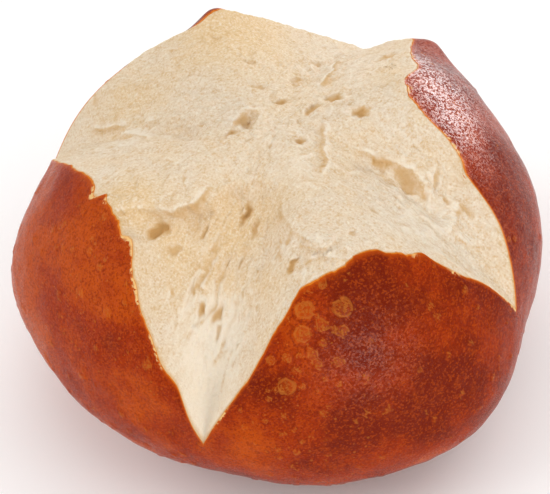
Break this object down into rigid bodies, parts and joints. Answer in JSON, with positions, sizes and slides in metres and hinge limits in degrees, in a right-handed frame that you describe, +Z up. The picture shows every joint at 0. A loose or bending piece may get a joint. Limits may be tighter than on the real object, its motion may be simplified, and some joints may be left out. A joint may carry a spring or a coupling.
{
  "type": "pretzel roll",
  "caption": "Round pretzel roll with a browned crust, burst open along a cross-cut that shows the pale torn crumb.",
  "frame": {"origin": "middle of the flat base, on the surface that the roll stands on", "axes": "+Z up out of the cross-cut, -Y towards the long front arm of the cross, +X to the right seen from the front"},
  "size_m": [0.1022, 0.1018, 0.0645],
  "materials": {
    "crust": "lye-browned bread crust, red-brown with a low gloss, blistered in places",
    "crumb": "pale torn bread crumb, dull and slightly translucent"
  },
  "bodies": {
    "root": {"pretzel_roll": "crust"}
  },
  "joints": []
}
